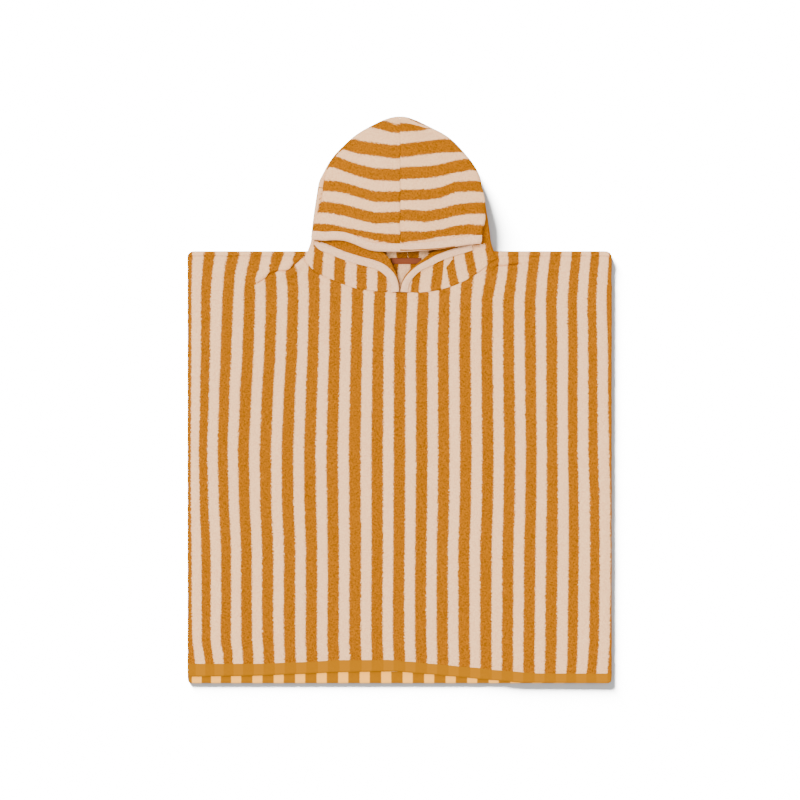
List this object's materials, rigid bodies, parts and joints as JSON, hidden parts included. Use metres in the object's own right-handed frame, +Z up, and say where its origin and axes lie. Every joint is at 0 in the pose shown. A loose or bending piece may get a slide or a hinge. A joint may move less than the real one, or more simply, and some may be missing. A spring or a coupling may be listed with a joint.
{
  "type": "child's hooded bath poncho",
  "caption": "Striped terry bath poncho for a child, laid flat face up: square body with an open-faced hood, bound face edge and flat-woven hems.",
  "frame": {"origin": "on the table, under the middle of the garment's box as it lies", "axes": "+Y from the hem to the top of the hood, +X to the right as it is seen from above, +Z up out of the front panel"},
  "size_m": [0.6, 0.802, 0.036],
  "materials": {
    "striped_terry": "looped pile, orange and cream stripes",
    "binding_terry": "looped pile, cream outside and orange inside",
    "label_weave": "plain woven tape, bare"
  },
  "bodies": {
    "root": {"back_panel": "striped_terry", "front_panel": "striped_terry", "hood_left": "striped_terry", "hood_right": "striped_terry", "brim_binding": "binding_terry", "lip_binding_left": "binding_terry", "lip_binding_right": "binding_terry", "neck_label": "label_weave"}
  },
  "joints": []
}
